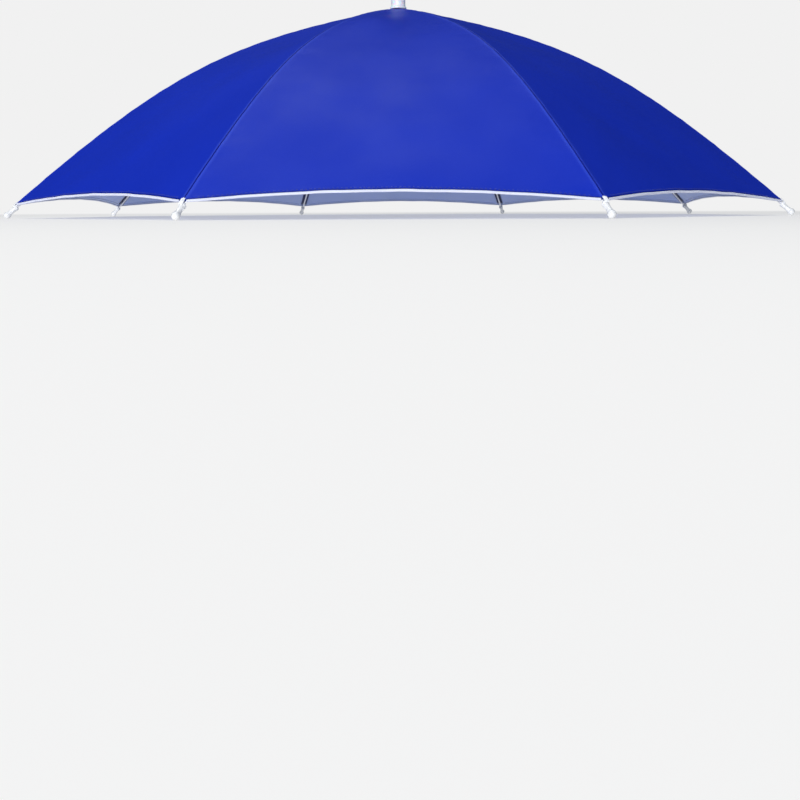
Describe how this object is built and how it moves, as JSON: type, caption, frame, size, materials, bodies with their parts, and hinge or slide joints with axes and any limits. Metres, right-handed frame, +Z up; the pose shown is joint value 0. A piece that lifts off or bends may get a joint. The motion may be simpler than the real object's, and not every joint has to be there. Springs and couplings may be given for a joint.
{
  "type": "umbrella hat",
  "caption": "Hands-free sun and rain hat: an open folding umbrella canopy on ribs and stretchers, with a head pad and an elastic headband below.",
  "frame": {"origin": "centre of the hat on the surface that it stands on, straight below the crown, with the rib tips on that surface", "axes": "+Z up through the crown and the ferrule, the front panel towards -Y, +X to the wearer's left"},
  "size_m": [0.6562, 0.6562, 0.2174],
  "materials": {
    "canopy_cloth": "satin nylon, royal blue outside with a silver-grey coating inside",
    "hem_edging": "matt white woven edging",
    "rib_steel": "drawn wire",
    "white_plastic": "smooth moulded",
    "elastic_band": "matt woven elastic"
  },
  "bodies": {
    "root": {"crown_hub": "white_plastic", "ferrule": "white_plastic", "runner": "white_plastic", "headband": "elastic_band", "canopy_panel_1": "canopy_cloth", "canopy_panel_2": "canopy_cloth", "canopy_panel_3": "canopy_cloth", "canopy_panel_4": "canopy_cloth", "canopy_panel_5": "canopy_cloth", "canopy_panel_6": "canopy_cloth", "canopy_panel_7": "canopy_cloth", "canopy_panel_8": "canopy_cloth", "hem_edging_1": "hem_edging", "hem_edging_2": "hem_edging", "hem_edging_3": "hem_edging", "hem_edging_4": "hem_edging", "hem_edging_5": "hem_edging", "hem_edging_6": "hem_edging", "hem_edging_7": "hem_edging", "hem_edging_8": "hem_edging", "rib_1": "rib_steel", "rib_2": "rib_steel", "rib_3": "rib_steel", "rib_4": "rib_steel", "rib_5": "rib_steel", "rib_6": "rib_steel", "rib_7": "rib_steel", "rib_8": "rib_steel", "rib_tip_1": "white_plastic", "rib_tip_2": "white_plastic", "rib_tip_3": "white_plastic", "rib_tip_4": "white_plastic", "rib_tip_5": "white_plastic", "rib_tip_6": "white_plastic", "rib_tip_7": "white_plastic", "rib_tip_8": "white_plastic", "stretcher_1": "rib_steel", "stretcher_2": "rib_steel", "stretcher_3": "rib_steel", "stretcher_4": "rib_steel", "stretcher_5": "rib_steel", "stretcher_6": "rib_steel", "stretcher_7": "rib_steel", "stretcher_8": "rib_steel", "band_strap_1": "elastic_band", "band_strap_2": "elastic_band", "band_strap_3": "elastic_band", "band_strap_4": "elastic_band", "band_strap_5": "elastic_band", "band_strap_6": "elastic_band", "band_strap_7": "elastic_band", "band_strap_8": "elastic_band"}
  },
  "joints": []
}
